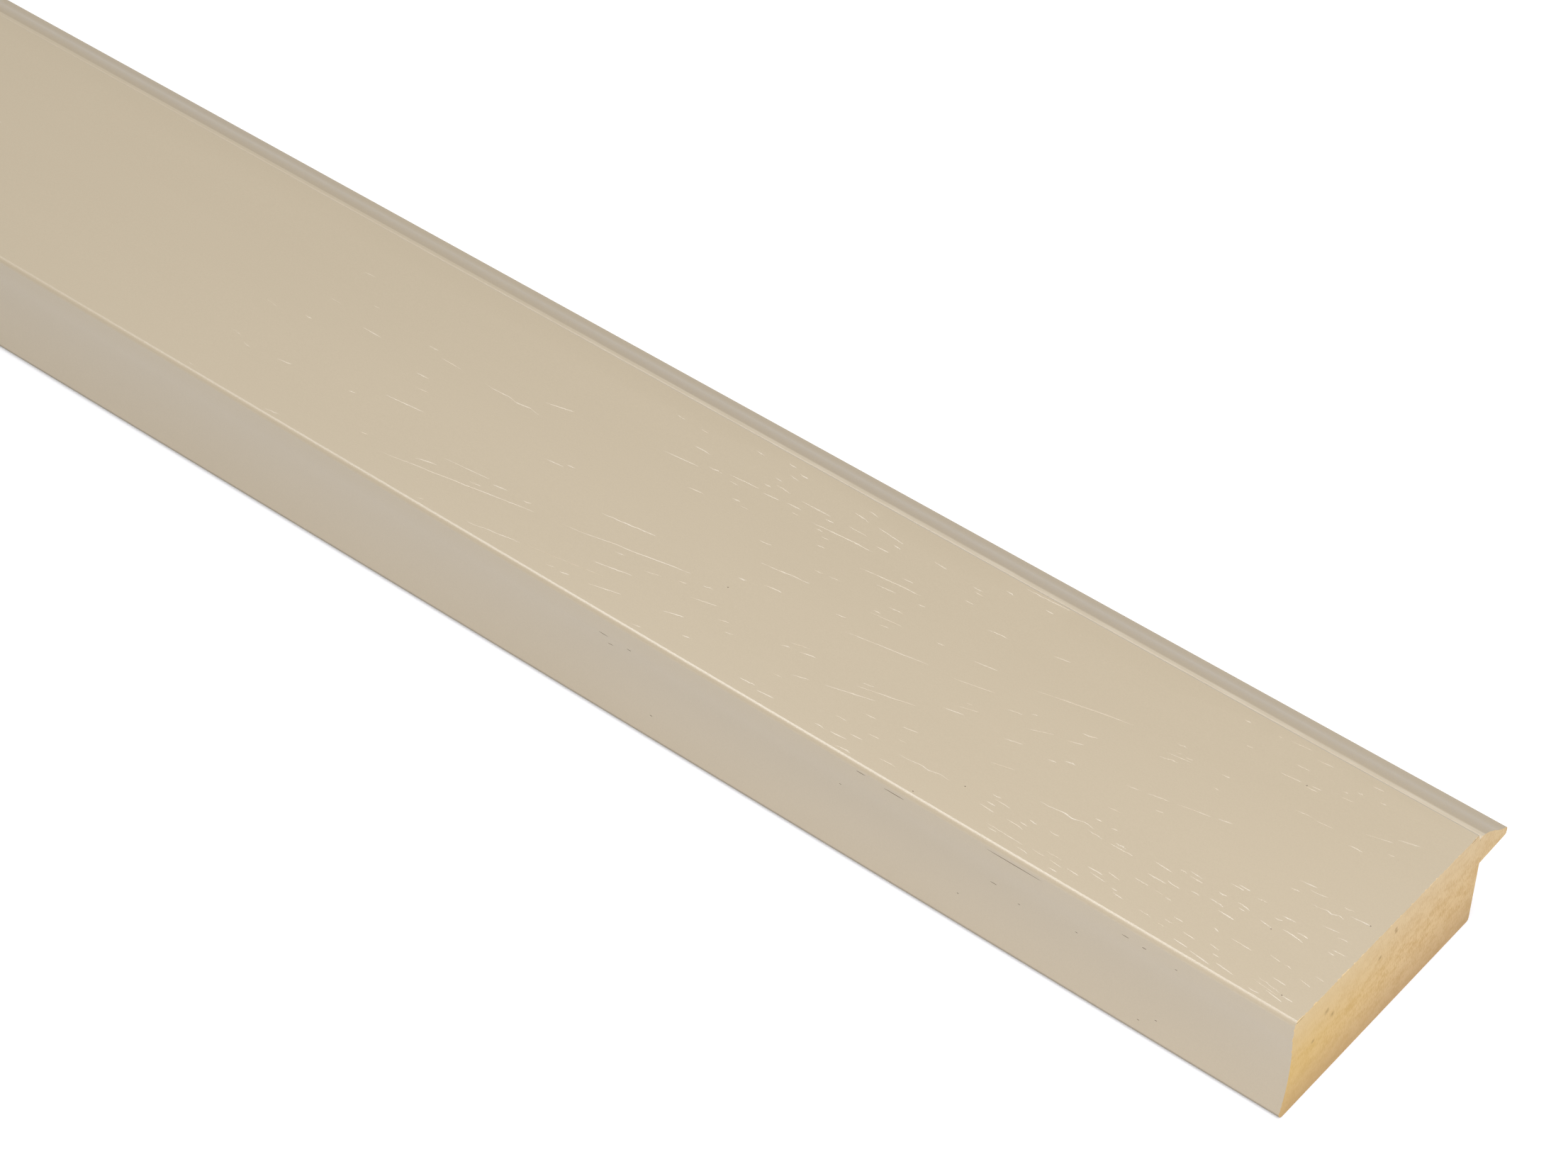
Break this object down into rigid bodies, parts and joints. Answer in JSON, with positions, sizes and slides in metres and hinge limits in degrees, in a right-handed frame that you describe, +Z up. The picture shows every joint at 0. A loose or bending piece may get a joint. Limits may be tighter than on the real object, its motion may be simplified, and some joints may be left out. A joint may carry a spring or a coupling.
{
  "type": "picture frame moulding",
  "caption": "Wide flat painted wooden picture frame moulding with a rounded hollow back edge, a fine quirk, a falling ogee lip and a rebate for glass and picture, sawn square at its ends.",
  "frame": {"origin": "middle of the underside, which is the side that lies against the wall in use", "axes": "+X along the stick, +Y from the thick back edge to the thin sight edge, +Z up from the underside to the painted face"},
  "size_m": [1.22, 0.064, 0.0225],
  "materials": {
    "painted_wood": "satin stone-coloured paint over open-pored hardwood, bare wood at the sawn ends, the back and the rebate"
  },
  "bodies": {
    "root": {"moulding": "painted_wood"}
  },
  "joints": []
}
